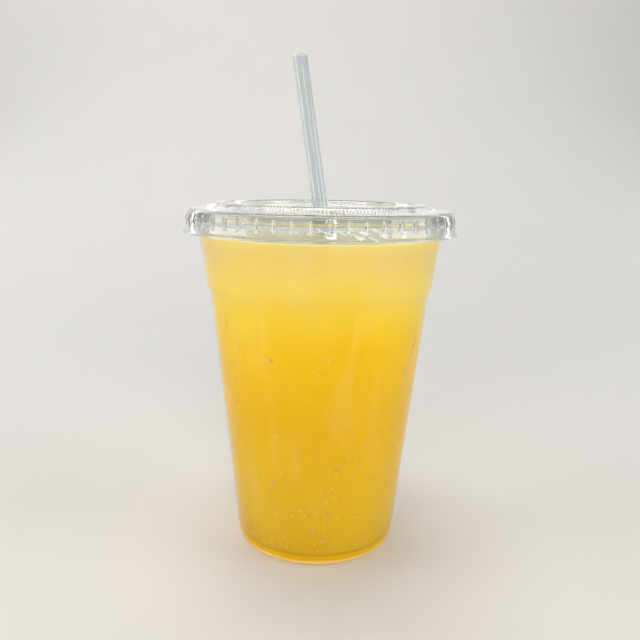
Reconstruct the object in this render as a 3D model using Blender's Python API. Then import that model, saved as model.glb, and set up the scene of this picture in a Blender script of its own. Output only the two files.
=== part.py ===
"""A clear 20 oz plastic cup of citrus limeade, with a flat push-on lid and a clear straw.

Metres, +Z up. The origin is the centre of the cup's foot, on the surface that it stands on.
"""

from math import acos, atan2, cos, hypot, pi, radians, sin, sqrt

import bmesh
import bpy
from mathutils import Matrix, Vector

# Cup: a thin conical wall on a raised foot, with a stacking step and a rolled rim.
CUP_HEIGHT = 0.1330
CUP_WALL = 0.0006
RIM_RADIUS = 0.0490
RIM_ROLL = 0.0014
NECK_RADIUS = 0.0470
FLARE_FOOT = (0.0453, 0.1172)
STEP_TOP = (0.04395, 0.1058)
STEP_FOOT = (0.0425, 0.1018)
HEEL = (0.0320, 0.0031)
HEEL_STEPS = 3
FOOT_OUTER_RADIUS = 0.0280
FOOT_INNER_RADIUS = 0.0258
PUNT_RADIUS = 0.0226
PUNT_HEIGHT = 0.0034
CUP_SEGMENTS = 64

# Lid: a recessed panel, a raised ring, a shoulder that rests on the rim, and a gripping skirt.
LID_WALL = 0.00045
PANEL_HEIGHT = 0.1343
PANEL_RADIUS = 0.0355
RING_HEIGHT = 0.1360
RING_INNER_RADIUS = 0.0367
RING_OUTER_RADIUS = 0.0408
RING_FOOT_RADIUS = 0.0440
SHOULDER_HEIGHT = 0.1338
SHOULDER_RADIUS = 0.0505
SNAP_GROOVE_HEIGHT = 0.1304
SNAP_GROOVE_DEPTH = 0.0005
SKIRT_RADIUS = 0.0520
SKIRT_FOOT = 0.1256
GRIP_RIBS = 52
GRIP_RIB_DEPTH = 0.0005
GRIP_RIB_TOP = 0.1325
GRIP_RIB_FOOT = 0.1280

# Straw slit: two crossed cuts, whose four flaps the straw has pushed down.
FLAP_HINGE = 0.0046
FLAP_THICKNESS = 0.0003

# Straw: it passes the middle of the lid, and its foot leans forward and to the right.
STRAW_RADIUS = 0.0029
STRAW_WALL = 0.00025
STRAW_TOP_HEIGHT = 0.1918
STRAW_FOOT_HEIGHT = 0.0075
STRAW_LEAN_X = 0.158
STRAW_LEAN_Y = -0.14
STRAW_SEGMENTS = 24

# Drink: it fills the cup to just under the lid's lip.
DRINK_LEVEL = 0.1243

# Room left between two pieces that touch.
GAP = 0.0003


def clear_scene():
    for obj in list(bpy.data.objects):
        bpy.data.objects.remove(obj)


def make_material(name, colour, roughness, alpha=1.0):
    material = bpy.data.materials.new(name)
    material.use_nodes = True
    shader = material.node_tree.nodes["Principled BSDF"]
    shader.inputs["Base Color"].default_value = (*colour, 1.0)
    shader.inputs["Roughness"].default_value = roughness
    shader.inputs["Metallic"].default_value = 0.0
    shader.inputs["Alpha"].default_value = alpha
    return material


def add_object(name, bm, material):
    bmesh.ops.remove_doubles(bm, verts=bm.verts, dist=1e-6)
    bmesh.ops.recalc_face_normals(bm, faces=bm.faces)
    mesh = bpy.data.meshes.new(name)
    bm.to_mesh(mesh)
    bm.free()
    mesh.shade_smooth()
    mesh.set_sharp_from_angle(angle=radians(30))
    mesh.materials.append(material)
    obj = bpy.data.objects.new(name, mesh)
    bpy.context.scene.collection.objects.link(obj)
    return obj


def turned(outline, segments):
    """A profile of (radius, height) points, spun once round Z."""
    bm = bmesh.new()
    points = [bm.verts.new((radius, 0.0, height)) for radius, height in outline]
    closed = outline[0][0] > 0.0
    ends = points[1:] + points[:1] if closed else points[1:]
    edges = [bm.edges.new(pair) for pair in zip(points, ends)]
    bmesh.ops.spin(
        bm,
        geom=points + edges,
        axis=(0.0, 0.0, 1.0),
        cent=(0.0, 0.0, 0.0),
        angle=2 * pi,
        steps=segments,
        use_merge=True,
    )
    return bm


def offset_line(line, distance):
    """The line moved sideways by distance, to the right of its direction, with mitred corners."""
    moved = []
    for i, (radius, height) in enumerate(line):
        before = line[max(i - 1, 0)]
        after = line[min(i + 1, len(line) - 1)]
        sides = []
        for start, end in ((before, (radius, height)), ((radius, height), after)):
            run, rise = end[0] - start[0], end[1] - start[1]
            length = hypot(run, rise)
            if length > 0.0:
                sides.append((rise / length, -run / length))
        across = sum(side[0] for side in sides), sum(side[1] for side in sides)
        length = hypot(*across)
        normal = across[0] / length, across[1] / length
        mitre = normal[0] * sides[0][0] + normal[1] * sides[0][1]
        moved.append((radius + normal[0] * distance / mitre, height + normal[1] * distance / mitre))
    return moved


def arc(centre, radius, start_deg, end_deg, steps):
    """Points on an arc of the profile, in order from the start angle to the end angle."""
    angles = [radians(start_deg + (end_deg - start_deg) * i / steps) for i in range(steps + 1)]
    return [(centre[0] + radius * cos(a), centre[1] + radius * sin(a)) for a in angles]


def heel_curve():
    """A quarter of an ellipse from the foot's outer edge up to the wall."""
    turns = [pi / 2 * i / HEEL_STEPS for i in range(HEEL_STEPS + 1)]
    reach = HEEL[0] - FOOT_OUTER_RADIUS
    return [(FOOT_OUTER_RADIUS + reach * sin(a), HEEL[1] * (1 - cos(a))) for a in turns]


def cup_outside():
    """The outer wall from the middle of the punt to the neck under the rim."""
    return [
        (0.0, PUNT_HEIGHT),
        (PUNT_RADIUS, PUNT_HEIGHT),
        (FOOT_INNER_RADIUS, 0.0),
        *heel_curve(),
        STEP_FOOT,
        STEP_TOP,
        FLARE_FOOT,
        (NECK_RADIUS, SKIRT_FOOT),
        (NECK_RADIUS + 0.0005, CUP_HEIGHT - 2 * RIM_ROLL),
    ]


def cup_inside():
    """The inner wall from the neck down to the middle of the floor, one wall inside the outer one."""
    return [(max(r, 0.0), z) for r, z in reversed(offset_line(cup_outside(), -CUP_WALL))]


def make_cup(material):
    roll_centre = (RIM_RADIUS - RIM_ROLL, CUP_HEIGHT - RIM_ROLL)
    roll = arc(roll_centre, RIM_ROLL, -60, 150, 7)
    bm = turned(cup_outside() + roll + cup_inside(), CUP_SEGMENTS)
    return add_object("cup", bm, material)


def grip_swell(height):
    """How far the grip ribs stand out at a height of the skirt, from 0 to 1."""
    along = (height - GRIP_RIB_FOOT) / (GRIP_RIB_TOP - GRIP_RIB_FOOT)
    return sin(pi * along) if 0.0 < along < 1.0 else 0.0


def lid_outside():
    """The upper face from the middle of the panel to the skirt's lip."""
    shoulder_round = 0.0013
    groove_half = 0.0010
    return [
        (0.0, PANEL_HEIGHT),
        (PANEL_RADIUS, PANEL_HEIGHT),
        (RING_INNER_RADIUS, RING_HEIGHT - 0.0003),
        (RING_INNER_RADIUS + 0.0005, RING_HEIGHT),
        (RING_OUTER_RADIUS - 0.0005, RING_HEIGHT),
        (RING_OUTER_RADIUS, RING_HEIGHT - 0.0003),
        (RING_FOOT_RADIUS, SHOULDER_HEIGHT),
        (SHOULDER_RADIUS - shoulder_round, SHOULDER_HEIGHT),
        (SHOULDER_RADIUS - 0.3 * shoulder_round, SHOULDER_HEIGHT - 0.3 * shoulder_round),
        (SHOULDER_RADIUS, SHOULDER_HEIGHT - shoulder_round),
        (SHOULDER_RADIUS, SNAP_GROOVE_HEIGHT + groove_half),
        (SHOULDER_RADIUS - SNAP_GROOVE_DEPTH, SNAP_GROOVE_HEIGHT),
        (SHOULDER_RADIUS + 0.0003, SNAP_GROOVE_HEIGHT - groove_half),
        (SKIRT_RADIUS - 0.0004, SKIRT_FOOT + 0.0010),
        (SKIRT_RADIUS, SKIRT_FOOT),
    ]


def lid_shell():
    """The lid with its skirt fluted into grip ribs, before the straw's opening is made."""
    outside = lid_outside()
    inside = [(max(r, 0.0), z) for r, z in reversed(offset_line(outside, LID_WALL))]
    bm = turned(outside + inside, 2 * GRIP_RIBS)
    for vert in bm.verts:
        radius = hypot(vert.co.x, vert.co.y)
        if radius < SHOULDER_RADIUS - 2 * LID_WALL - SNAP_GROOVE_DEPTH:
            continue
        ridge = round(atan2(vert.co.y, vert.co.x) * GRIP_RIBS / pi) % 2
        scale = 1.0 + ridge * GRIP_RIB_DEPTH * grip_swell(vert.co.z) / radius
        vert.co.x *= scale
        vert.co.y *= scale
    return bm


def prism(corners, low, high):
    """A flat polygon of (x, y) corners, made a solid between two heights."""
    bm = bmesh.new()
    face = bm.faces.new([bm.verts.new((x, y, low)) for x, y in corners])
    lifted = bmesh.ops.extrude_face_region(bm, geom=[face])["geom"]
    top = [item for item in lifted if isinstance(item, bmesh.types.BMVert)]
    bmesh.ops.translate(bm, verts=top, vec=(0.0, 0.0, high - low))
    return bm


def straw_axis_at(height):
    """The middle of the straw at a height."""
    drop = PANEL_HEIGHT - height
    return Vector((STRAW_LEAN_X * drop, STRAW_LEAN_Y * drop, height))


def flap_drop_angle(turn):
    """The angle that a flap on this side is bent down, so that its tip just clears the straw."""
    outward = Vector((cos(turn), sin(turn), 0.0))
    tip_height = PANEL_HEIGHT - FLAP_HINGE
    straw_side = straw_axis_at(tip_height).dot(outward) + STRAW_RADIUS + 2 * GAP
    return acos(max(FLAP_HINGE - straw_side, 0.0002) / FLAP_HINGE)


def make_flap(turn, material):
    """One triangle between two cuts, hinged at the panel and bent down beside the straw."""
    bm = bmesh.new()
    angle = flap_drop_angle(turn)
    middle = PANEL_HEIGHT - LID_WALL / 2
    half = FLAP_THICKNESS / 2
    blunt = 0.0006
    root = FLAP_HINGE + 0.0012
    down = Vector((-cos(angle), 0.0, -sin(angle)))
    across = Vector((sin(angle), 0.0, -cos(angle))) * half
    knee = Vector((FLAP_HINGE + half, 0.0, middle))
    tip = knee + down * (FLAP_HINGE - blunt)
    stations = [
        (Vector((root, 0.0, middle)), Vector((0.0, 0.0, -half)), FLAP_HINGE - 0.0008),
        (knee, (Vector((0.0, 0.0, -half)) + across) * 0.7, FLAP_HINGE - 0.0008),
        (tip, across, blunt),
    ]
    loops = []
    for centre, side, reach in stations:
        loop = [
            bm.verts.new(centre + side * a + Vector((0.0, reach * b, 0.0)))
            for a, b in ((-1, -1), (1, -1), (1, 1), (-1, 1))
        ]
        loops.append(loop)
    for lower, upper in zip(loops, loops[1:]):
        for i in range(4):
            j = (i + 1) % 4
            bm.faces.new((lower[i], lower[j], upper[j], upper[i]))
    bm.faces.new(loops[0])
    bm.faces.new(loops[-1])
    bmesh.ops.rotate(bm, verts=bm.verts, cent=(0.0, 0.0, 0.0), matrix=Matrix.Rotation(turn, 3, "Z"))
    return add_object(f"flap_{round(turn * 2 / pi)}", bm, material)


def apply_booleans(obj, helpers):
    """Bakes an object's Booleans into its mesh and removes the helpers."""
    graph = bpy.context.evaluated_depsgraph_get()
    baked = bpy.data.meshes.new_from_object(obj.evaluated_get(graph))
    obj.modifiers.clear()
    obj.data = baked
    for helper in helpers:
        bpy.data.objects.remove(helper)


def add_boolean(obj, operation, other):
    modifier = obj.modifiers.new(operation.title(), "BOOLEAN")
    modifier.operation = operation
    modifier.solver = "EXACT"
    if isinstance(other, bpy.types.Collection):
        modifier.operand_type = "COLLECTION"
        modifier.collection = other
    else:
        modifier.object = other


def make_lid(material):
    lid = add_object("lid", lid_shell(), material)
    square = [(x * FLAP_HINGE, y * FLAP_HINGE) for x, y in ((-1, -1), (1, -1), (1, 1), (-1, 1))]
    opening = add_object("slit_cutter", prism(square, PANEL_HEIGHT - 0.003, PANEL_HEIGHT + 0.003), material)
    add_boolean(lid, "DIFFERENCE", opening)
    flaps = bpy.data.collections.new("flaps")
    bpy.context.scene.collection.children.link(flaps)
    helpers = [opening]
    for quarter in range(4):
        flap = make_flap(quarter * pi / 2, material)
        bpy.context.scene.collection.objects.unlink(flap)
        flaps.objects.link(flap)
        helpers.append(flap)
    add_boolean(lid, "UNION", flaps)
    apply_booleans(lid, helpers)
    bpy.data.collections.remove(flaps)
    lid.data.shade_smooth()
    lid.data.set_sharp_from_angle(angle=radians(30))
    return lid


def straw_matrix(foot_height):
    """Carries a piece that stands on the origin to the straw's line, with its foot at a height."""
    up = (straw_axis_at(1.0) - straw_axis_at(0.0)).normalized()
    turn = Vector((0.0, 0.0, 1.0)).rotation_difference(up).to_matrix().to_4x4()
    return Matrix.Translation(straw_axis_at(foot_height)) @ turn


def tube(outer_radius, inner_radius, length):
    ring = [(outer_radius, 0.0), (outer_radius, length), (inner_radius, length), (inner_radius, 0.0)]
    return turned(ring, STRAW_SEGMENTS)


def lean_length(low, high):
    """The length along the leaning straw between two heights."""
    return (high - low) * sqrt(1.0 + STRAW_LEAN_X**2 + STRAW_LEAN_Y**2)


def make_straw(material):
    length = lean_length(STRAW_FOOT_HEIGHT, STRAW_TOP_HEIGHT)
    straw = add_object("straw", tube(STRAW_RADIUS, STRAW_RADIUS - STRAW_WALL, length), material)
    straw.matrix_world = straw_matrix(STRAW_FOOT_HEIGHT)
    return straw


def drink_outline():
    """The cup's inner wall less the gap, from the floor's middle up to the level, closed across the top."""
    wall = offset_line(cup_outside(), -(CUP_WALL + GAP))
    wet = [(max(radius, 0.0), height) for radius, height in wall if height < DRINK_LEVEL]
    low, high = wet[-1], wall[len(wet)]
    edge = low[0] + (high[0] - low[0]) * (DRINK_LEVEL - low[1]) / (high[1] - low[1])
    return wet + [(edge, DRINK_LEVEL), (0.0, DRINK_LEVEL)]


def make_drink(material):
    drink = add_object("limeade", turned(drink_outline(), CUP_SEGMENTS), material)
    length = lean_length(STRAW_FOOT_HEIGHT, CUP_HEIGHT)
    slot = tube(STRAW_RADIUS + GAP, STRAW_RADIUS - STRAW_WALL - GAP, length)
    cutter = add_object("straw_slot_cutter", slot, material)
    cutter.matrix_world = straw_matrix(STRAW_FOOT_HEIGHT - GAP)
    bpy.context.view_layer.update()
    add_boolean(drink, "DIFFERENCE", cutter)
    apply_booleans(drink, [cutter])
    return drink


def main():
    clear_scene()
    clear_cup = make_material("clear_pet_cup", (0.93, 0.95, 0.95), 0.06, 0.30)
    clear_lid = make_material("clear_pet_lid", (0.90, 0.93, 0.94), 0.05, 0.35)
    clear_straw = make_material("clear_polypropylene", (0.85, 0.89, 0.91), 0.15, 0.50)
    limeade = make_material("limeade", (0.87, 0.52, 0.03), 0.20)
    make_cup(clear_cup)
    make_lid(clear_lid)
    make_straw(clear_straw)
    make_drink(limeade)


main()
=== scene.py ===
"""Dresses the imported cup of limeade: clear cup, ribbed lid, straw, cloudy drink and the water on them.

Lengths are in metres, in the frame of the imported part, with the foot of the cup at the origin.
"""

from math import pi, radians

import bmesh
import bpy
import numpy as np
from bpy.props import FloatProperty, FloatVectorProperty, IntProperty, PointerProperty
from bpy.types import Operator, Panel, PropertyGroup
from mathutils import Matrix, Vector


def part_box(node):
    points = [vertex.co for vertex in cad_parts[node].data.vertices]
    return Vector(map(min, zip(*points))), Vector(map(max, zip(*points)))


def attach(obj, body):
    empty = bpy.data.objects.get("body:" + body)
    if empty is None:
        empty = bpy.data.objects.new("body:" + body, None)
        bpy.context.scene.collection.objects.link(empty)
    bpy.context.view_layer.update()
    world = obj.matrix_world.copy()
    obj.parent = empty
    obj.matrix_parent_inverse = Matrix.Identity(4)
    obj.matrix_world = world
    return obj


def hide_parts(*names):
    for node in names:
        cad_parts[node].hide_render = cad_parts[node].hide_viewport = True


bl_info = {
    "name": "Cup of Limeade",
    "version": (1, 0, 0),
    "blender": (4, 5, 0),
    "location": "3D View > Sidebar > Limeade",
    "description": "Builds the finish of a lidded cup of limeade over its packed solids",
    "category": "Object",
}

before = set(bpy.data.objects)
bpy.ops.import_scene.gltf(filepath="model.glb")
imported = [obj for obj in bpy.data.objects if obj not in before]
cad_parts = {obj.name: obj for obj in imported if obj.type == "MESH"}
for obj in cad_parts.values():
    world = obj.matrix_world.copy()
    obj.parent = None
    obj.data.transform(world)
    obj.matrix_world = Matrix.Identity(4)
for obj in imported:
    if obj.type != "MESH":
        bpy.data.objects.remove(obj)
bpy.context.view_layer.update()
CUP_LOW, CUP_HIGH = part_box("cup")
LID_LOW, LID_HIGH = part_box("lid")
STRAW_LOW, STRAW_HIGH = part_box("straw")
DRINK_LOW, DRINK_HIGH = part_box("limeade")

BODY = "root"
MM = 0.001
MERGE = 1e-7

# Where the cup's wall turns, as (radius, height)
HEEL = (32.0 * MM, 3.1 * MM)
STEP_FOOT = (42.5 * MM, 101.8 * MM)
STEP_TOP = (43.95 * MM, 105.8 * MM)
FLARE_FOOT = (45.3 * MM, 117.2 * MM)
NECK = (47.0 * MM, 125.6 * MM)
FOOT_RADIUS = 28.0 * MM

# The lid's heights, then its radii from the middle outwards
SHOULDER_HEIGHT = 133.8 * MM
PANEL_HEIGHT = 134.3 * MM
GROOVE_HEIGHT = 130.6 * MM
RIB_FOOT, RIB_LENGTH = 128.0 * MM, 4.6 * MM
FLAP_HINGE = 4.6 * MM
PANEL_START = 10.0 * MM
FLUTES_IN, FLUTES_OUT = 41.0 * MM, 43.8 * MM


def linear(hex_colour):
    """An sRGB hex colour as linear RGB: c / 12.92 below 0.04045, else ((c + 0.055) / 1.055) ^ 2.4."""
    channels = np.array([int(hex_colour[i : i + 2], 16) for i in (0, 2, 4)]) / 255
    curved = ((channels + 0.055) / 1.055) ** 2.4
    return tuple(float(c) for c in np.where(channels <= 0.04045, channels / 12.92, curved))


def length(name, description, default):
    """A setting in metres."""
    return FloatProperty(
        name=name, description=description, default=default, min=0.0, unit="LENGTH", precision=5
    )


def colour(name, description, hex_colour):
    """A colour setting, linear as Blender keeps it."""
    return FloatVectorProperty(
        name=name,
        description=description,
        default=linear(hex_colour),
        size=3,
        min=0.0,
        max=1.0,
        subtype="COLOR",
    )


# Sizes and colours that a user would change


class CupSettings(PropertyGroup):
    height: length("Height", "Foot to the top of the rolled rim", CUP_HIGH.z)
    rim_radius: length("Rim radius", "Outside of the rolled rim", CUP_HIGH.x)
    rim_roll: length("Rim roll", "Radius of the roll", 1.4 * MM)
    wall: length("Wall", "Thickness of the formed sheet", 0.6 * MM)
    tint: colour("Tint", "Colour of the clear sheet", "FBFCFC")
    # Painted light: the golden glow painted on the foot stands in for the drink's light carried in the
    # plastic
    painted_foot_glow: colour("Foot", "Colour that the foot carries from the drink", "FFDC66")
    mist: FloatProperty(
        name="Mist", description="How white the condensation is", default=0.03, min=0.0, max=1.0
    )


class LidSettings(PropertyGroup):
    skirt_radius: length("Skirt radius", "Outside of the skirt's lip", LID_HIGH.x)
    ring_height: length("Ring height", "Top of the raised ring", LID_HIGH.z)
    wall: length("Wall", "Thickness of the formed sheet", 0.45 * MM)
    ribs: IntProperty(name="Grip ribs", description="Upright ribs round the skirt", default=52, min=8)
    rib_depth: length("Rib depth", "How far a grip rib stands out", 0.55 * MM)
    flutes: IntProperty(name="Flutes", description="Radial flutes on the cone", default=208, min=8)
    flute_depth: length("Flute depth", "How far a flute stands up", 0.5 * MM)
    tint: colour("Tint", "Colour of the clear sheet", "FAFCFC")


class StrawSettings(PropertyGroup):
    radius: length("Radius", "Outside of the tube", 2.9 * MM)
    wall: length("Wall", "Thickness of the tube", 0.25 * MM)
    lean_x: FloatProperty(name="Lean X", description="Sideways shift for each unit down", default=0.158)
    lean_y: FloatProperty(name="Lean Y", description="Backward shift for each unit down", default=-0.14)
    tint: colour("Tint", "Colour of the hazy tube", "E6EAEB")


class DrinkSettings(PropertyGroup):
    level: length("Level", "Height of the drink's surface", DRINK_HIGH.z)
    meniscus: length("Meniscus", "How far the edge climbs what it touches", 0.5 * MM)
    overlap: length("Overlap", "How far it reaches into the cup's wall", 0.35 * MM)
    pale: colour("Pale top", "Cloudy drink under the lid", "E8CC80")
    bright: colour("Bright core", "Clearest yellow, at mid height", "F1C400")
    # Painted shade: the drink is coloured darker towards the foot, where less light reaches down through
    # it
    deep: colour("Deep foot", "Settled drink near the base", "E3B91A")
    open_pale: colour("Open pale", "Clear patches of the open surface", "ECDBA2")
    open_deep: colour("Open deep", "Pulp afloat on the open surface", "E4CE8C")


class BeadSettings(PropertyGroup):
    count: IntProperty(name="Beads", description="Condensation beads on the wall", default=300, min=1)
    smallest: length("Smallest", "Radius of the smallest bead", 0.25 * MM)
    largest: length("Largest", "Radius of the largest bead", 0.7 * MM)
    seed: IntProperty(name="Seed", description="Start of the random draw", default=29)


class StageSettings(PropertyGroup):
    floor: colour("Floor", "Pale floor and backdrop", "EBE8E3")
    lens: FloatProperty(
        name="Lens", description="Focal length", default=38.0, unit="CAMERA", min=1.0
    )
    aside: length("Aside", "Camera to the right of the cup's axis", 0.5 * MM)
    distance: length("Distance", "Camera to the cup's axis, along Y", 265.0 * MM)
    eye_height: length("Eye height", "Camera above the table", 145.8 * MM)
    pitch: FloatProperty(
        name="Pitch", description="How far the camera looks down", default=radians(11.86), subtype="ANGLE"
    )
    roll: FloatProperty(
        name="Roll", description="Turn about the view axis", default=radians(1.03), subtype="ANGLE"
    )


# Surfaces as whole arrays


def rounded(corners, cuts, steps):
    """A polyline with each inner corner P replaced by (1-t)^2 A + 2t(1-t) P + t^2 B.

    A and B lie one cut before and after P.
    """
    corners = np.asarray(corners, float)
    middle = corners[1:-1]
    cuts = np.broadcast_to(np.asarray(cuts, float), len(middle))[:, None]
    before, after = corners[:-2] - middle, corners[2:] - middle
    a = middle + cuts * before / np.linalg.norm(before, axis=1, keepdims=True)
    b = middle + cuts * after / np.linalg.norm(after, axis=1, keepdims=True)
    t = np.linspace(0.0, 1.0, steps)[None, :, None]
    curves = (1 - t) ** 2 * a[:, None] + 2 * t * (1 - t) * middle[:, None] + t**2 * b[:, None]
    return np.concatenate([corners[:1], curves.reshape(-1, 2), corners[-1:]])


def refined(line, spacing):
    """The line with every segment cut into equal steps no longer than its spacing."""
    runs = np.linalg.norm(np.diff(line, axis=0), axis=1)
    counts = np.maximum(1, np.ceil(runs / spacing)).astype(int)
    start = np.repeat(np.arange(len(counts)), counts)
    first = np.repeat(np.cumsum(counts) - counts, counts)
    share = (np.arange(counts.sum()) - first) / np.repeat(counts, counts)
    return np.concatenate([line[start] + share[:, None] * (line[start + 1] - line[start]), line[-1:]])


def shifted(line, distance):
    """The line moved to its left: P + d n, with n square to the central difference."""
    step = np.gradient(line, axis=0)
    step /= np.linalg.norm(step, axis=1, keepdims=True)
    return line + distance * np.stack([-step[:, 1], step[:, 0]], axis=1)


def arc(centre, radius, start, end, steps):
    """Points C + r (cos a, sin a), a from start to end in degrees."""
    angles = np.radians(np.linspace(start, end, steps))
    return np.asarray(centre) + radius * np.stack([np.cos(angles), np.sin(angles)], axis=1)


def turned(line, columns):
    """A (radius, height) line carried round Z: (r cos a, r sin a, z), one column for each angle."""
    angles = np.arange(columns) * 2 * pi / columns
    r, z = line[:, :1], line[:, 1:]
    return np.stack([r * np.cos(angles), r * np.sin(angles), z + 0 * angles], axis=2)


def outward(grid):
    """Unit normals of a turned grid: dS/drow x dS/dcolumn, pointed off the solid."""
    along = np.gradient(grid, axis=0)
    around = np.roll(grid, -1, axis=1) - np.roll(grid, 1, axis=1)
    normal = np.cross(around, along)
    return normal / np.maximum(np.linalg.norm(normal, axis=2, keepdims=True), 1e-12)


def grid_quads(rows, columns, closed_rows):
    """Quads between neighbours of a grid whose columns close on themselves, and its rows too if told."""
    i = np.arange(rows if closed_rows else rows - 1)[:, None]
    j = np.arange(columns)[None, :]
    below, right = (i + 1) % rows, (j + 1) % columns
    corners = [i * columns + j, i * columns + right, below * columns + right, below * columns + j]
    return np.stack(corners, axis=2).reshape(-1, 4)


def joined(parts):
    """Several (points, quads) as one."""
    offsets = np.cumsum([0] + [len(points) for points, _ in parts[:-1]])
    points = np.concatenate([points for points, _ in parts])
    return points, np.concatenate([quads + start for (_, quads), start in zip(parts, offsets)])


def lofted(grid, closed_rows):
    """A grid of points as (points, quads)."""
    rows, columns = grid.shape[:2]
    return grid.reshape(-1, 3), grid_quads(rows, columns, closed_rows)


def make_piece(name, points, quads, material, node_name=None, second=None):
    """Puts points and quads into a mesh, merges its poles, turns its faces out and rides it on the body.

    second is another material and the number of the first quad that wears it.
    """
    mesh = bpy.data.meshes.new(name)
    mesh.vertices.add(len(points))
    mesh.vertices.foreach_set("co", np.asarray(points, np.float32).ravel())
    mesh.loops.add(quads.size)
    mesh.loops.foreach_set("vertex_index", quads.astype(np.int32).ravel())
    mesh.polygons.add(len(quads))
    mesh.polygons.foreach_set("loop_start", np.arange(0, quads.size, 4, dtype=np.int32))
    if second:
        mesh.polygons.foreach_set("material_index", (np.arange(len(quads)) >= second[1]).astype(np.int32))
    mesh.update(calc_edges=True)
    bm = bmesh.new()
    bm.from_mesh(mesh)
    bmesh.ops.remove_doubles(bm, verts=bm.verts, dist=MERGE)
    bmesh.ops.recalc_face_normals(bm, faces=bm.faces)
    bm.to_mesh(mesh)
    bm.free()
    mesh.shade_smooth()
    mesh.materials.append(material)
    if second:
        mesh.materials.append(second[0])
    obj = bpy.data.objects.new(name, mesh)
    bpy.context.scene.collection.objects.link(obj)
    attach(obj, BODY)
    if node_name:
        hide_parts(node_name)
    return obj


# Materials


def new_material(name):
    """An empty material and its node tree."""
    material = bpy.data.materials.new(name)
    material.use_nodes = True
    tree = material.node_tree
    tree.nodes.clear()
    return material, tree


def rgba(colour, alpha=1.0):
    """A linear RGB colour, or an sRGB hex one, with its alpha."""
    return (*(linear(colour) if isinstance(colour, str) else colour), alpha)


def add(tree, kind, inputs=None, **settings):
    """Adds a node, sets its fields, and fills or links its inputs."""
    made = tree.nodes.new(kind)
    for name, value in settings.items():
        setattr(made, name, value)
    for socket, value in (inputs or {}).items():
        if isinstance(value, bpy.types.NodeSocket):
            tree.links.new(value, made.inputs[socket])
        else:
            made.inputs[socket].default_value = value
    return made


def place_of(tree):
    """Object coordinates, which are the frame's own metres."""
    return add(tree, "ShaderNodeTexCoord").outputs["Object"]


def height_of(tree, place):
    """Height above the foot of the cup."""
    return add(tree, "ShaderNodeSeparateXYZ", {0: place}).outputs["Z"]


def noise(tree, place, size, detail=2.0, roughness=0.5):
    """Noise whose largest blotches are about size across."""
    inputs = {"Vector": place, "Scale": 1 / size, "Detail": detail, "Roughness": roughness}
    return add(tree, "ShaderNodeTexNoise", inputs).outputs["Fac"]


def ranged(tree, value, start=0.0, end=1.0, low=0.0, high=1.0, **settings):
    """A value carried from start..end to low..high, and held there beyond them."""
    inputs = {"Value": value, "From Min": start, "From Max": end, "To Min": low, "To Max": high}
    return add(tree, "ShaderNodeMapRange", inputs, **settings).outputs[0]


def reckoned(tree, operation, *values):
    """The result of one step of arithmetic."""
    return add(tree, "ShaderNodeMath", dict(enumerate(values)), operation=operation).outputs[0]


def vector_step(tree, operation, *values):
    """The result of one step of vector arithmetic: a length or a dot product is a number."""
    made = add(tree, "ShaderNodeVectorMath", dict(enumerate(values)), operation=operation)
    return made.outputs["Value" if operation in ("LENGTH", "DOT_PRODUCT") else "Vector"]


def wave_round(tree, turn, count):
    """cos(2 pi n f), with f a radial gradient that runs from 0 to 1 once round Z."""
    return reckoned(tree, "COSINE", reckoned(tree, "MULTIPLY", turn, 2 * pi * count))


def radial(tree, vector):
    """The angle round Z, from 0 to 1."""
    return add(tree, "ShaderNodeTexGradient", {"Vector": vector}, gradient_type="RADIAL").outputs["Fac"]


def blended(tree, share, first, second):
    """The mix of two colours."""
    inputs = {"Factor": share, "A": first, "B": second}
    return add(tree, "ShaderNodeMix", inputs, data_type="RGBA").outputs["Result"]


def bumped(tree, height, depth, strength):
    """Normals tilted as by a relief of that depth."""
    inputs = {"Height": height, "Distance": depth, "Strength": strength}
    return add(tree, "ShaderNodeBump", inputs).outputs[0]


def coloured(tree, position, stops):
    """The colour that a position has on a ramp of (position, RGBA) stops, and its alpha."""
    ramp = add(tree, "ShaderNodeValToRGB", {0: position})
    elements = ramp.color_ramp.elements
    elements.remove(elements[-1])
    elements[0].position, elements[0].color = stops[0]
    for stop, value in stops[1:]:
        elements.new(stop).color = value
    return ramp.outputs["Color"], ramp.outputs["Alpha"]


def let_light_in(tree, surface, shade):
    """Clear plastic passes lamp light to what is inside, less the little that its two faces turn back."""
    rays = add(tree, "ShaderNodeLightPath")
    open_way = add(tree, "ShaderNodeBsdfTransparent", {"Color": rgba(shade)})
    mixed = add(
        tree,
        "ShaderNodeMixShader",
        {0: rays.outputs["Is Shadow Ray"], 1: surface, 2: open_way.outputs[0]},
    )
    add(tree, "ShaderNodeOutputMaterial", {"Surface": mixed.outputs[0]})


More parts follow.
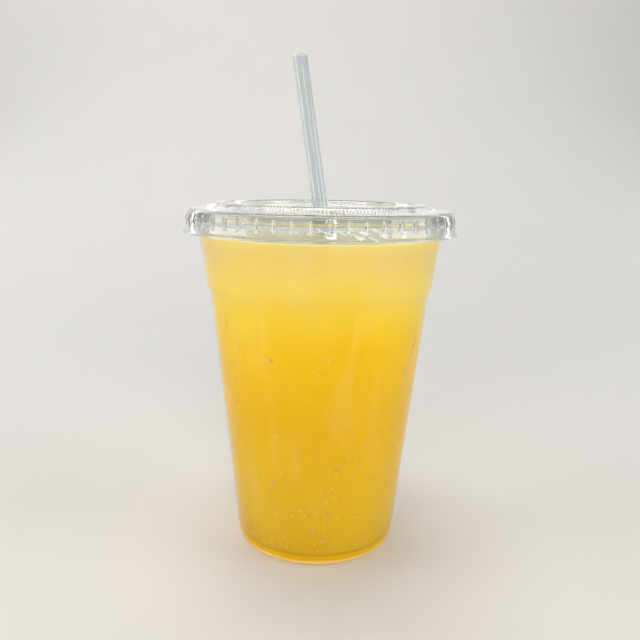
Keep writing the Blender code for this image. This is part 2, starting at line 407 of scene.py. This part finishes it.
def glossy_pet(settings):
    """Thermoformed PET: clear and very glossy, wavy where drawn, with white strokes along flutes and ribs
    painted as highlights.
    """
    material, tree = new_material("glossy_thermoformed_pet")
    place = place_of(tree)
    waves = noise(tree, place, 7 * MM, 1.5)
    scuffs = noise(tree, place, 11 * MM, 3.0)
    turn = radial(tree, place)
    radius = vector_step(tree, "LENGTH", vector_step(tree, "MULTIPLY", place, (1, 1, 0)))

    # Painted highlights: white strokes along the flutes come and go in groups round the cone
    middle, reach = (FLUTES_IN + FLUTES_OUT) / 2, (FLUTES_OUT - FLUTES_IN) / 2
    on_cone = reckoned(tree, "COMPARE", radius, middle, reach)
    groups = ranged(tree, noise(tree, place, 5 * MM, 0.0), 0.27, 0.43, 0.0, 0.78)
    ridges = ranged(tree, wave_round(tree, turn, settings.flutes), -0.2, 1.0, 0.0, groups)
    flute_painted_highlight = reckoned(tree, "MULTIPLY", ridges, on_cone)

    # Painted highlights: the ribs are whitened along their middles, where the radial gradient's cosine is
    # lowest
    rib_painted_highlight = ranged(tree, wave_round(tree, turn, settings.ribs), -0.94, -0.99, 0.0, 0.4)
    on_rib = reckoned(tree, "COMPARE", height_of(tree, place), RIB_FOOT + 2.4 * MM, 2.0 * MM)
    on_skirt = reckoned(tree, "COMPARE", radius, settings.skirt_radius, 1.5 * MM)
    near_rib = reckoned(tree, "MULTIPLY", on_rib, on_skirt)
    # Painted highlights: where the flute and rib strokes lie, the sheet is less clear and turns white
    haze = reckoned(tree, "MULTIPLY_ADD", near_rib, rib_painted_highlight, flute_painted_highlight)
    shader = add(
        tree,
        "ShaderNodeBsdfPrincipled",
        {
            "Base Color": rgba(settings.tint),
            "Roughness": ranged(tree, scuffs, low=0.01, high=0.07),
            "IOR": 1.57,
            "Transmission Weight": reckoned(tree, "SUBTRACT", 1.0, haze),
            "Sheen Weight": 0.3,
            "Sheen Roughness": 0.25,
            "Normal": bumped(tree, waves, 0.03 * MM, 1.0),
        },
    )
    let_light_in(tree, shader.outputs[0], (0.93, 0.94, 0.94))
    return material


def misted_pet(settings):
    """Thermoformed PET dulled by condensation in upright streaks; its foot is painted with a golden glow,
    standing in for the drink's light carried in the plastic.
    """
    material, tree = new_material("misted_thermoformed_pet")
    place = place_of(tree)
    height = height_of(tree, place)
    above_heel = ranged(tree, height, 4 * MM, 8 * MM, interpolation_type="SMOOTHSTEP")
    below_lid = ranged(tree, height, 127 * MM, 121 * MM, interpolation_type="SMOOTHSTEP")
    band = reckoned(tree, "MULTIPLY", above_heel, below_lid)
    patches = ranged(tree, noise(tree, place, 26 * MM, 3.0, 0.6), 0.3, 0.7, 0.55, 1.0)
    mist = reckoned(tree, "MULTIPLY", band, patches)

    # Noise five times as tall as wide gives upright streaks
    upright = vector_step(tree, "MULTIPLY", place, (1, 1, 0.2))
    streaks = ranged(tree, noise(tree, upright, 7 * MM, 2.0, 0.4), 0.52, 0.72, 0.1, 1.0)
    fogged = reckoned(tree, "MULTIPLY", band, streaks)
    veil = reckoned(tree, "MULTIPLY", fogged, settings.mist)
    # Painted light: below the heel the sheet is less clear and golden, a glow that stands in for the
    # drink's light carried in the plastic
    foot = ranged(tree, height, 3.0 * MM, 2.2 * MM)
    lit = ranged(tree, foot, low=1.0, high=0.3)
    shader = add(
        tree,
        "ShaderNodeBsdfPrincipled",
        {
            "Base Color": blended(tree, foot, rgba(settings.tint), rgba(settings.painted_foot_glow)),
            "Roughness": ranged(tree, mist, low=0.05, high=0.2),
            "IOR": 1.3,
            "Transmission Weight": reckoned(tree, "SUBTRACT", lit, veil),
            "Sheen Weight": 0.1,
            "Sheen Roughness": 0.25,
        },
    )
    let_light_in(tree, shader.outputs[0], (0.93, 0.94, 0.93))
    return material


def hazy_polypropylene(settings):
    """Extruded polypropylene: clear with a milky haze, faint draw lines and pale cut edges, rough and
    painted paler still as a highlight along the mouth.
    """
    material, tree = new_material("hazy_extruded_polypropylene")
    place = place_of(tree)
    anchor, up, _, _ = straw_frame(settings)
    across = vector_step(tree, "CROSS_PRODUCT", place, tuple(up))
    lines = noise(tree, across, 0.9 * MM)
    haze = ranged(tree, lines, low=0.98, high=0.8)
    # The cut end is rough and scatters light, and is painted paler still as the highlight along the
    # mouth's rim
    along = vector_step(tree, "DOT_PRODUCT", place, tuple(up))
    sink = settings.radius * np.hypot(settings.lean_x, settings.lean_y)
    mouth = (STRAW_HIGH.z - sink - anchor[2] * (1 - up[2] ** 2)) / up[2]
    uncut = ranged(tree, along, mouth - 0.6 * MM, mouth - 0.3 * MM, 1.0, 0.3)
    shader = add(
        tree,
        "ShaderNodeBsdfPrincipled",
        {
            "Base Color": rgba(settings.tint),
            "Roughness": ranged(tree, lines, low=0.04, high=0.12),
            "IOR": 1.49,
            "Transmission Weight": reckoned(tree, "MULTIPLY", haze, uncut),
            "Sheen Weight": 0.5,
            "Sheen Roughness": 0.2,
            "Normal": bumped(tree, lines, 0.03 * MM, 0.6),
        },
    )
    let_light_in(tree, shader.outputs[0], (0.86, 0.88, 0.89))
    return material


def cloudy_limeade(settings):
    """Cloudy citrus drink: pulp scatters light deep inside, so it glows, palest at the top; darker towards
    the bottom as painted shade, with painted light and shade round the foot.
    """
    material, tree = new_material("cloudy_citrus_drink")
    place = place_of(tree)
    height = height_of(tree, place)
    wander = ranged(tree, noise(tree, place, 45 * MM), low=-12 * MM, high=12 * MM)
    level = ranged(tree, reckoned(tree, "ADD", height, wander), end=settings.level)
    # Colour by height, wandering a little: pale at the top, clearest yellow at mid height, then darker
    # towards the bottom, which is painted shade where less light reaches down
    height_tone_with_painted_shade, _ = coloured(
        tree,
        level,
        [
            (0.00, rgba("DAAB14")),
            (0.05, rgba("DCAE16")),
            (0.16, rgba(settings.deep)),
            (0.31, rgba("E9BD12")),
            (0.44, rgba("ECBC00")),
            (0.58, rgba(settings.bright)),
            (0.71, rgba("F8CB0C")),
            (0.80, rgba("F9D53C")),
            (0.89, rgba("F6DA6C")),
            (1.00, rgba(settings.pale)),
        ],
    )
    # Painted light and shade round the foot: a pale line at the very bottom and a golden band stand in for
    # light carried through the thin drink there, and a dark ring for the punt's edge seen as shade through
    # it
    painted_foot_light_and_shade, painted_foot_share = coloured(
        tree,
        ranged(tree, height, end=9 * MM),
        [
            (0.00, rgba("FFE28A")),
            (0.17, rgba("FFDC74")),
            (0.25, rgba("F2BC04", 0.9)),
            (0.50, rgba("EEB804", 0.9)),
            (0.58, rgba("C09A14", 0.75)),
            (0.63, rgba("BE9818", 0.5)),
            (0.74, rgba("C8A01C", 0.0)),
        ],
    )
    shader = add(
        tree,
        "ShaderNodeBsdfPrincipled",
        {
            "Base Color": blended(tree, painted_foot_share, height_tone_with_painted_shade, painted_foot_light_and_shade),
            "Roughness": 0.5,
            "IOR": 1.34,
            "Specular IOR Level": 0.0,
            "Subsurface Weight": 0.6,
            "Subsurface Radius": (1.0, 0.85, 0.3),
            "Subsurface Scale": 12 * MM,
        },
    )
    add(tree, "ShaderNodeOutputMaterial", {"Surface": shader.outputs[0]})
    return material


def drink_surface(settings):
    """The drink's open surface: wet and mirror-like at a low angle, with a little pulp afloat."""
    material, tree = new_material("drink_surface")
    pulp = noise(tree, place_of(tree), 3 * MM, 3.0)
    shader = add(
        tree,
        "ShaderNodeBsdfPrincipled",
        {
            "Base Color": blended(tree, pulp, rgba(settings.open_pale), rgba(settings.open_deep)),
            "Roughness": 0.06,
            "IOR": 1.34,
            "Subsurface Weight": 0.5,
            "Subsurface Radius": (1.0, 0.7, 0.3),
            "Subsurface Scale": 8 * MM,
            "Normal": bumped(tree, pulp, 0.03 * MM, 0.5),
        },
    )
    add(tree, "ShaderNodeOutputMaterial", {"Surface": shader.outputs[0]})
    return material


def still_water(name, tint, milky, dullness):
    """Water: clear or a little milky, with a slightly uneven skin that catches the lights; the milky white
    is painted highlight that makes the drops read pale.
    """
    material, tree = new_material(name)
    skin = noise(tree, place_of(tree), 1.2 * MM)
    shader = add(
        tree,
        "ShaderNodeBsdfPrincipled",
        {
            "Base Color": rgba(tint),
            "Roughness": dullness,
            "IOR": 1.33,
            "Transmission Weight": 1.0 - milky,
            "Normal": bumped(tree, skin, 0.02 * MM, 0.6),
        },
    )
    let_light_in(tree, shader.outputs[0], (0.97, 0.97, 0.97))
    return material


def matt_backdrop(settings):
    """Painted board: pale and matt, with the faint mottle of a roller, nine blotches to a metre."""
    material, tree = new_material("matt_painted_board")
    mottle = noise(tree, place_of(tree), 1 / 9)
    darker = tuple(0.97 * channel for channel in settings.floor)
    shader = add(
        tree,
        "ShaderNodeBsdfPrincipled",
        {
            "Base Color": blended(tree, mottle, rgba(settings.floor), rgba(darker)),
            "Roughness": 0.85,
            "Specular IOR Level": 0.2,
        },
    )
    add(tree, "ShaderNodeOutputMaterial", {"Surface": shader.outputs[0]})
    return material


# Profiles


def heel_curve(steps):
    """A quarter ellipse from the foot to the wall: (R + a sin t, b (1 - cos t))."""
    t = np.linspace(0.0, pi / 2, steps)
    reach = HEEL[0] - FOOT_RADIUS
    return np.stack([FOOT_RADIUS + reach * np.sin(t), HEEL[1] * (1 - np.cos(t))], axis=1)


def cup_wall_line(settings):
    """The cup's outer face in profile: punt, foot, heel, cone, stacking step, flare and neck."""
    punt = rounded(
        [(0, 3.4 * MM), (9 * MM, 3.4 * MM), (9.6 * MM, 2.9 * MM), (22.6 * MM, 3.4 * MM),
         (25.8 * MM, 0), (FOOT_RADIUS, 0)],
        [0.3 * MM, 0.3 * MM, 1.2 * MM, 0.8 * MM],
        6,
    )
    upper = rounded(
        [HEEL, STEP_FOOT, STEP_TOP, FLARE_FOOT, NECK,
         (NECK[0] + 0.5 * MM, settings.height - 2 * settings.rim_roll)],
        [0.9 * MM, 1.1 * MM, 2.4 * MM, 1.8 * MM],
        8,
    )
    return np.concatenate([punt[:-1], heel_curve(14)[:-1], upper])


def wall_radius(line, heights):
    """The outer wall's radius at heights above the heel, read from its profile."""
    wall = line[line[:, 0] > FOOT_RADIUS]
    return np.interp(heights, wall[:, 1], wall[:, 0])


def straw_frame(settings):
    """A point on the straw's axis at the lid, its unit direction upwards, and two vectors across it."""
    up = np.array([-settings.lean_x, -settings.lean_y, 1.0])
    up /= np.linalg.norm(up)
    side = np.cross(up, (0.0, 1.0, 0.0))
    side /= np.linalg.norm(side)
    return np.array([0.0, 0.0, PANEL_HEIGHT]), up, side, np.cross(up, side)


# Operators


class LIMEADE_OT_cup(Operator):
    """Turns the clear cup with its recessed base, stacking step and rolled rim"""

    bl_idname = "limeade.cup"
    bl_label = "Cup"

    def execute(self, context):
        settings = context.scene.limeade_cup
        wall = refined(cup_wall_line(settings), 6 * MM)
        roll_centre = (settings.rim_radius - settings.rim_roll, settings.height - settings.rim_roll)
        # The curl is a hollow roll: round its inside first, then back over its outside
        slit, lap = -60, 185
        hollow = arc(roll_centre, settings.rim_roll - 0.75 * settings.wall, 262, slit, 20)
        roll = arc(roll_centre, settings.rim_roll, slit, lap, 20)
        inner = shifted(wall, settings.wall)[::-1]
        inner[:, 0] = np.maximum(inner[:, 0], 0.0)
        points, quads = lofted(turned(np.concatenate([wall, hollow, roll, inner]), 288), False)
        make_piece("clear_cup", points, quads, misted_pet(settings), "cup")
        return {"FINISHED"}


class LIMEADE_OT_drink(Operator):
    """Fills the cup with the cloudy drink, its surface drawn up where it meets the wall and the straw"""

    bl_idname = "limeade.drink"
    bl_label = "Drink"

    def execute(self, context):
        settings = context.scene.limeade_drink
        cup = context.scene.limeade_cup
        wall = shifted(refined(cup_wall_line(cup), 4 * MM), cup.wall - settings.overlap)
        wall[:, 0] = np.maximum(wall[:, 0], 0.0)
        edge_radius = wall_radius(wall, settings.level)
        wall = np.concatenate([wall[wall[:, 1] < settings.level], [(edge_radius, settings.level)]])
        # Rings of the open surface, closest together at the wall where the meniscus climbs
        rings = 60
        across = 1 - np.linspace(0.0, 1.0, rings) ** 1.6
        surface = np.stack([edge_radius * across, np.full(rings, settings.level)], axis=1)
        grid = turned(np.concatenate([wall, surface]), 240)
        top = grid[len(wall) :]
        top[..., 2] += self.rise(context, top, edge_radius)
        points, quads = lofted(grid, False)
        surface = drink_surface(settings), len(wall) * grid.shape[1]
        body = cloudy_limeade(settings)
        make_piece("cloudy_limeade", points, quads, body, "limeade", surface)
        return {"FINISHED"}

    @staticmethod
    def rise(context, top, edge_radius):
        """The meniscus: m exp(-d / 1.6 mm) from the wall and again from the straw's outside."""
        drink, straw = context.scene.limeade_drink, context.scene.limeade_straw
        anchor, up, _, _ = straw_frame(straw)
        axis = anchor + up * (drink.level - anchor[2]) / up[2]
        to_straw = np.linalg.norm(top[..., :2] - axis[:2], axis=2) - straw.radius
        to_wall = edge_radius - np.linalg.norm(top[..., :2], axis=2)
        reach = 1.6 * MM
        near = np.exp(-to_wall / reach) + np.exp(-np.maximum(to_straw, 0.0) / reach)
        return drink.meniscus * near


class LIMEADE_OT_lid(Operator):
    """Forms the clear lid: panel, raised ring, fluted cone, shoulder, ribbed skirt and the straw's slit"""

    bl_idname = "limeade.lid"
    bl_label = "Lid"

    def execute(self, context):
        settings = context.scene.limeade_lid
        parts = [lofted(self.sheet(settings), True)]
        for quarter in range(4):
            parts.append(self.flap(context, quarter * pi / 2))
        points, quads = joined(parts)
        make_piece("clear_lid", points, quads, glossy_pet(settings), "lid")
        return {"FINISHED"}

    @staticmethod
    def sheet(settings):
        """The lid's outer face with its relief, and the inner face one wall behind it."""
        # Sixteen columns to a rib, which are four to a flute, so that neither drifts off the grid
        columns = 16 * settings.ribs
        skirt = settings.skirt_radius
        line = rounded(
            [
                (PANEL_START, PANEL_HEIGHT),
                (35.5 * MM, PANEL_HEIGHT),
                (36.7 * MM, settings.ring_height),
                (FLUTES_IN - 0.2 * MM, settings.ring_height),
                (FLUTES_OUT + 0.2 * MM, SHOULDER_HEIGHT),
                (skirt - 1.5 * MM, SHOULDER_HEIGHT),
                (skirt - 1.2 * MM, 129.2 * MM),
                (skirt - 0.6 * MM, 126.7 * MM),
                (skirt, 125.8 * MM),
                (skirt, 125.6 * MM),
            ],
            [0.6 * MM, 0.5 * MM, 0.6 * MM, 0.9 * MM, 1.4 * MM, 0.6 * MM, 0.4 * MM, 0.1 * MM],
            4,
        )
        middle = (line[1:] + line[:-1]) / 2
        has_relief = middle[:, 0] > FLUTES_IN - 0.5 * MM
        line = refined(line, np.where(has_relief, 0.72 * MM, 5.0 * MM))
        grid = turned(line, columns)
        normal = outward(grid)
        angles = (np.arange(columns) * 2 * pi / columns)[None, :]
        radius, height = line[:, :1], line[:, 1:]
        relief = LIMEADE_OT_lid.skirt_relief(settings, angles, radius, height)
        relief = relief + LIMEADE_OT_lid.cone_relief(settings, angles, radius)
        outer = grid + relief[..., None] * normal
        inner = outer - settings.wall * outward(outer)
        hole = LIMEADE_OT_lid.square_hole(columns)
        outer = np.concatenate([hole[..., 0, :], outer])
        inner = np.concatenate([hole[..., 1, :] - (0, 0, settings.wall), inner])
        return np.concatenate([outer, inner[::-1]])

    @staticmethod
    def square_hole(columns):
        """Rows that blend the slit's square, r = h / max(|cos a|, |sin a|), into the panel's circles."""
        angles = np.arange(columns) * 2 * pi / columns
        square = FLAP_HINGE / np.maximum(abs(np.cos(angles)), abs(np.sin(angles)))
        share = np.array([0.0, 0.04, 0.3, 0.65])[:, None]
        radius = (1 - share) * square + share * PANEL_START
        row = np.stack(
            [radius * np.cos(angles), radius * np.sin(angles), np.full_like(radius, PANEL_HEIGHT)], axis=2
        )
        return np.stack([row, row], axis=2)

    @staticmethod
    def skirt_relief(settings, angles, radius, height):
        """Ribs d exp(-(s / 0.55 mm)^4), s the arc to the nearest rib, over a groove that stops at them."""
        turn = angles * settings.ribs / (2 * pi) - 0.5
        s = (turn - np.round(turn)) * 2 * pi / settings.ribs * radius
        rib = np.exp(-((s / (0.55 * MM)) ** 4))
        share = np.clip((height - RIB_FOOT) / RIB_LENGTH, 0.0, 1.0)
        groove = np.exp(-(((height - GROOVE_HEIGHT) / (0.7 * MM)) ** 2))
        on_skirt = radius > settings.skirt_radius - 1.6 * MM
        relief = settings.rib_depth * (rib * np.sin(pi * share) ** 0.5 - 0.9 * groove * (1 - rib))
        return np.where(on_skirt, relief, 0.0)

    @staticmethod
    def cone_relief(settings, angles, radius):
        """Flutes d (0.5 + 0.5 cos n a) down the cone, faded at both of its ends."""
        flutes = 0.5 + 0.5 * np.cos(settings.flutes * angles)
        fade = 0.5 * MM
        inside = np.clip((radius - FLUTES_IN) / fade, 0, 1)
        outside = np.clip((FLUTES_OUT - radius) / fade, 0, 1)
        return settings.flute_depth * flutes * inside * outside

    @staticmethod
    def flap(context, turn):
        """One triangle of the slit, curled down beside the straw.

        Its arc length w runs from the hinge, its slope grows as a min(1, w / w0), and its width is that of
        the triangle left at w. The section is a flat loop that closes to a line at both ends.
        """
        lid, straw = context.scene.limeade_lid, context.scene.limeade_straw
        facing = np.array([np.cos(turn), np.sin(turn)])
        tip_height = PANEL_HEIGHT - FLAP_HINGE
        axis = np.array([straw.lean_x, straw.lean_y]) * (PANEL_HEIGHT - tip_height)
        clearance = 0.25 * MM
        straw_side = axis @ facing + straw.radius + clearance
        bend = np.arccos(np.clip((FLAP_HINGE - straw_side) / FLAP_HINGE, 0.04, 1.0))
        w = np.linspace(0.0, FLAP_HINGE - 0.5 * MM, 16)
        slope = bend * np.minimum(1.0, w / (0.9 * MM))
        step = np.diff(w, prepend=0.0)
        reach = FLAP_HINGE - np.cumsum(step * np.cos(slope))
        fall = np.cumsum(step * np.sin(slope))
        half_width = FLAP_HINGE - w - 0.1 * MM
        thick = np.where((w > 0) & (w < w[-1]), lid.wall / 2, 0.0)
        v = np.concatenate([np.linspace(-1, 1, 9), np.linspace(1, -1, 9)])
        face = np.repeat([1.0, -1.0], 9)
        out, drop = np.sin(slope), np.cos(slope)
        x = reach[:, None] - (thick * out)[:, None] * face
        z = PANEL_HEIGHT - lid.wall / 2 - fall[:, None] + (thick * drop)[:, None] * face
        y = half_width[:, None] * v
        x, y = x * facing[0] - y * facing[1], x * facing[1] + y * facing[0]
        return lofted(np.stack([x, y, z], axis=2), False)


class LIMEADE_OT_straw(Operator):
    """Draws the hazy tube through the lid, from low in the drink to its open top"""

    bl_idname = "limeade.straw"
    bl_label = "Straw"

    def execute(self, context):
        settings = context.scene.limeade_straw
        anchor, up, side, across = straw_frame(settings)
        sink = settings.radius * np.hypot(settings.lean_x, settings.lean_y)
        low = (STRAW_LOW.z + sink - anchor[2]) / up[2]
        high = (STRAW_HIGH.z - sink - anchor[2]) / up[2]
        inside = settings.radius - settings.wall
        lip = settings.wall / 3
        section = rounded(
            [
                (inside + lip, low),
                (settings.radius, low),
                (settings.radius, high),
                (inside, high),
                (inside, low),
                (inside + lip, low),
            ],
            lip,
            4,
        )[:-1]
        section = refined(section, 8 * MM)
        columns = 72
        angles = np.arange(columns) * 2 * pi / columns
        ring = np.cos(angles)[:, None] * side + np.sin(angles)[:, None] * across
        grid = anchor + section[:, 1, None, None] * up + section[:, 0, None, None] * ring
        points, quads = lofted(grid, True)
        make_piece("hazy_straw", points, quads, hazy_polypropylene(settings), "straw")
        return {"FINISHED"}


def beads_on(centres, normals, along, lengths, widths, heights, rows=6, columns=8):
    """Drops as flattened ellipsoids: C + a l cos e cos t + b w cos e sin t + n h sin e.

    e runs from -90 to 90 and t once round; the half below the surface is shallow.
    """
    e = np.linspace(-pi / 2, pi / 2, rows)[None, :, None, None]
    t = (np.arange(columns) * 2 * pi / columns)[None, None, :, None]
    across = np.cross(normals, along)
    lift = np.where(e > 0, 1.0, 0.3) * np.sin(e)
    grids = (
        centres[:, None, None]
        + along[:, None, None] * lengths[:, None, None, None] * np.cos(e) * np.cos(t)
        + across[:, None, None] * widths[:, None, None, None] * np.cos(e) * np.sin(t)
        + normals[:, None, None] * heights[:, None, None, None] * lift
    )
    count = len(centres)
    first = (np.arange(count) * rows * columns)[:, None, None]
    quads = grid_quads(rows, columns, False)[None] + first
    return grids.reshape(-1, 3), quads.reshape(-1, 4)


class LIMEADE_OT_beads(Operator):
    """Scatters condensation beads on the wall, and splashes on the neck under the lid"""

    bl_idname = "limeade.beads"
    bl_label = "Water beads"

    def execute(self, context):
        settings = context.scene.limeade_beads
        random = np.random.default_rng(settings.seed)
        self.condensation(context, settings, random)
        self.splashes(context, random)
        return {"FINISHED"}

    @staticmethod
    def condensation(context, settings, random):
        """Beads all round, a quarter of them low at the front, and a few long runs near the sides."""
        count = settings.count
        low_front = 0.28  # share of the beads that gather low at the front
        near = random.random(count) < low_front
        angle = np.where(near, random.normal(radians(-70), 0.5, count), random.uniform(0, 2 * pi, count))
        height = np.where(near, random.normal(38 * MM, 20 * MM, count), random.uniform(7, 88, count) * MM)
        height = np.clip(height, 7 * MM, 118 * MM)
        size = settings.smallest + (settings.largest - settings.smallest) * random.random(count) ** 3
        stretch = random.uniform(0.9, 1.4, count)
        runs = 16
        angle[:runs] = np.radians(random.choice([-158, -22, 40, 120], runs) + random.normal(0, 9, runs))
        height[:runs] = random.uniform(62 * MM, 92 * MM, runs)
        size[:runs] = random.uniform(0.3 * MM, 0.45 * MM, runs)
        stretch[:runs] = random.uniform(3, 8, runs)
        radius = wall_radius(cup_wall_line(context.scene.limeade_cup), height)
        slope = (STEP_FOOT[0] - HEEL[0]) / (STEP_FOOT[1] - HEEL[1])
        facing = np.stack([np.cos(angle), np.sin(angle), np.zeros(count)], axis=1)
        upwards = np.array([0.0, 0.0, 1.0])
        normals = (facing - slope * upwards) / np.hypot(1, slope)
        along = (upwards + slope * facing) / np.hypot(1, slope)
        centres = radius[:, None] * facing + height[:, None] * upwards
        flatness = 0.22
        points, quads = beads_on(centres, normals, along, size * stretch, size, size * flatness)
        # Painted highlight: the milky pale-yellow tint makes each bead read as a lighter dot
        water = still_water("water_beads_painted_highlight", "FFF0C4", milky=0.09, dullness=0.25)
        make_piece("condensation_beads", points, quads, water)

    @staticmethod
    def splashes(context, random):
        """Streaks on the inside of the neck, thickest at the front right."""
        front, anywhere = 34, 16  # splashes near the front right, and all round
        count = front + anywhere
        cup = context.scene.limeade_cup
        angle = np.concatenate([random.normal(-70, 14, front), random.uniform(0, 360, anywhere)])
        angle = np.radians(angle)
        height = random.uniform(126.4 * MM, 130.2 * MM, count)
        line = cup_wall_line(cup)
        radius = wall_radius(line, height) - cup.wall
        inwards = -np.stack([np.cos(angle), np.sin(angle), np.zeros(count)], axis=1)
        centres = np.stack([radius * np.cos(angle), radius * np.sin(angle), height], axis=1)
        tilt = np.radians(random.normal(-22, 10, count))
        sideways = np.stack([-np.sin(angle), np.cos(angle), np.zeros(count)], axis=1)
        along = sideways * np.cos(tilt)[:, None] + np.array([0, 0, 1.0]) * np.sin(tilt)[:, None]
        size = random.uniform(0.2 * MM, 0.42 * MM, count)
        stretch = random.uniform(2.5, 6.0, count)
        points, quads = beads_on(
            centres, inwards, along, size * stretch, size, size * 0.8, rows=8, columns=12
        )
        # Painted highlight: the half-milky white makes each splash read as a bright streak
        water = still_water("splashed_water_painted_highlight", "FFFDF8", milky=0.5, dullness=0.02)
        make_piece("splashed_drops", points, quads, water)


class LIMEADE_OT_stage(Operator):
    """Sets the floor, the soft lights and the camera"""

    bl_idname = "limeade.stage"
    bl_label = "Stage"

    def execute(self, context):
        settings = context.scene.limeade_stage
        self.backdrop(settings)
        self.lights(context.scene)
        context.scene.world = self.room()
        self.camera(context.scene, settings)
        context.scene.view_settings.view_transform = "Standard"
        return {"FINISHED"}

    @staticmethod
    def backdrop(settings):
        """A floor that curves up into a wall, as an outline swept across."""
        front, back, top, half_width = -1.35, 1.1, 2.2, 1.35
        line = rounded([(front, 0.0), (back, 0.0), (back + 0.4, top)], [0.7], 24)
        across = np.array([-half_width, half_width])[None, :]
        grid = np.stack(
            [np.broadcast_to(across, (len(line), 2)), line[:, :1] + 0 * across, line[:, 1:] + 0 * across],
            axis=2,
        )
        mesh = bpy.data.meshes.new("backdrop")
        faces = np.stack([np.arange(len(line) - 1) * 2 + k for k in (0, 1, 3, 2)], axis=1)
        mesh.from_pydata(grid.reshape(-1, 3).tolist(), [], faces.tolist())
        mesh.shade_smooth()
        mesh.materials.append(matt_backdrop(settings))
        obj = bpy.data.objects.new("backdrop", mesh)
        bpy.context.scene.collection.objects.link(obj)

    @staticmethod
    def lights(scene):
        """Softboxes in front, at both sides, behind and overhead, with thin strips for the bright edges.

        Each has its place, the point it faces, its width, height and power. None shows through the clear
        sheets, the front one shows in no reflection, and the overhead glint in reflections alone.
        """
        lamps = {
            "softbox_front": ((-0.15, -1.25, 0.45), (0.0, 0.0, 0.07), 1.60, 0.60, 9.8),
            "softbox_left": ((-1.00, -0.15, 0.32), (0.0, 0.0, 0.10), 0.70, 0.56, 4.2),
            "softbox_right": ((1.00, -0.20, 0.32), (0.0, 0.0, 0.10), 0.70, 0.56, 4.0),
            "softbox_back": ((-0.10, 1.15, 0.78), (0.0, 0.0, 0.13), 1.60, 0.50, 6.0),
            "softbox_top": ((-0.10, 0.05, 1.20), (0.0, 0.0, 0.10), 0.50, 0.50, 2.8),
            "strip_front": ((0.22, -1.24, 0.62), (0.0, 0.0, 0.16), 0.14, 0.50, 2.0),
            "glint_top": ((0.0, 0.20, 1.27), (0.0, 0.0, 0.13), 1.40, 0.50, 8.0),
            "rim_left": ((-0.85, 0.75, 0.30), (0.0, 0.0, 0.13), 0.10, 0.60, 0.7),
            "rim_right": ((0.85, 0.75, 0.30), (0.0, 0.0, 0.13), 0.10, 0.60, 0.7),
        }
        for name, (place, target, width, height, power) in lamps.items():
            light = bpy.data.lights.new(name, "AREA")
            light.shape = "RECTANGLE"
            light.size, light.size_y, light.energy = width, height, power
            obj = bpy.data.objects.new(name, light)
            obj.visible_camera = False
            obj.visible_glossy = name != "softbox_front"
            obj.visible_transmission = False
            obj.visible_diffuse = name != "glint_top"
            obj.matrix_world = Matrix.Translation(place) @ turned_to(Vector(target) - Vector(place))
            scene.collection.objects.link(obj)

    @staticmethod
    def room():
        """A plain pale room for the camera; reflections find eleven dim wall panels round it instead."""
        world = bpy.data.worlds.new("dim_room")
        world.use_nodes = True
        tree = world.node_tree
        tree.nodes.clear()
        rays = add(tree, "ShaderNodeLightPath")
        panels = 11.0
        turn = radial(tree, add(tree, "ShaderNodeTexCoord").outputs["Generated"])
        panel = reckoned(tree, "FRACT", reckoned(tree, "MULTIPLY", turn, panels))
        strength = ranged(tree, panel, 0.64, 0.7, 0.06, 0.7)
        room = add(tree, "ShaderNodeBackground", {"Color": rgba("C9CED3"), "Strength": strength})
        seen = add(tree, "ShaderNodeBackground", {"Color": rgba("D9D7D2")})
        mixed = add(
            tree,
            "ShaderNodeMixShader",
            {0: rays.outputs["Is Camera Ray"], 1: room.outputs[0], 2: seen.outputs[0]},
        )
        add(tree, "ShaderNodeOutputWorld", {"Surface": mixed.outputs[0]})
        return world

    @staticmethod
    def camera(scene, settings):
        """The photo's camera: in front, a little above the lid's height, looking down on the cup."""
        data = bpy.data.cameras.new("photo_view")
        data.lens = settings.lens
        data.sensor_width = 36.0
        data.clip_start, data.clip_end = 0.01, 20.0
        obj = bpy.data.objects.new("photo_view", data)
        tilt = Matrix.Rotation(pi / 2 - settings.pitch, 4, "X")
        turn = Matrix.Rotation(settings.roll, 4, "Z")
        place = Matrix.Translation((settings.aside, -settings.distance, settings.eye_height))
        obj.matrix_world = place @ tilt @ turn
        scene.collection.objects.link(obj)
        scene.camera = obj


def turned_to(direction):
    """A rotation that points an object's -Z along a direction."""
    return direction.to_track_quat("-Z", "Y").to_matrix().to_4x4()


class LIMEADE_PT_panel(Panel):
    """Lists the operators with their settings"""

    bl_label = "Cup of Limeade"
    bl_idname = "LIMEADE_PT_panel"
    bl_space_type = "VIEW_3D"
    bl_region_type = "UI"
    bl_category = "Limeade"

    def draw(self, context):
        for group, operators in GROUPS:
            box = self.layout.box()
            settings = getattr(context.scene, group)
            for name in settings.__annotations__:
                box.prop(settings, name)
            for operator in operators:
                box.operator(operator)


GROUPS = (
    ("limeade_cup", ("limeade.cup",)),
    ("limeade_drink", ("limeade.drink",)),
    ("limeade_lid", ("limeade.lid",)),
    ("limeade_straw", ("limeade.straw",)),
    ("limeade_beads", ("limeade.beads",)),
    ("limeade_stage", ("limeade.stage",)),
)
SETTINGS = {
    "limeade_cup": CupSettings,
    "limeade_drink": DrinkSettings,
    "limeade_lid": LidSettings,
    "limeade_straw": StrawSettings,
    "limeade_beads": BeadSettings,
    "limeade_stage": StageSettings,
}
CLASSES = (
    *SETTINGS.values(),
    LIMEADE_OT_cup,
    LIMEADE_OT_drink,
    LIMEADE_OT_lid,
    LIMEADE_OT_straw,
    LIMEADE_OT_beads,
    LIMEADE_OT_stage,
    LIMEADE_PT_panel,
)


def register():
    for cls in CLASSES:
        bpy.utils.register_class(cls)
    for name, settings in SETTINGS.items():
        setattr(bpy.types.Scene, name, PointerProperty(type=settings))


def unregister():
    for name in SETTINGS:
        delattr(bpy.types.Scene, name)
    for cls in reversed(CLASSES):
        bpy.utils.unregister_class(cls)


def main():
    register()
    bpy.ops.limeade.cup()
    bpy.ops.limeade.drink()
    bpy.ops.limeade.lid()
    bpy.ops.limeade.straw()
    bpy.ops.limeade.beads()
    bpy.ops.limeade.stage()
    bpy.context.view_layer.update()


if __name__ == "__main__":
    main()
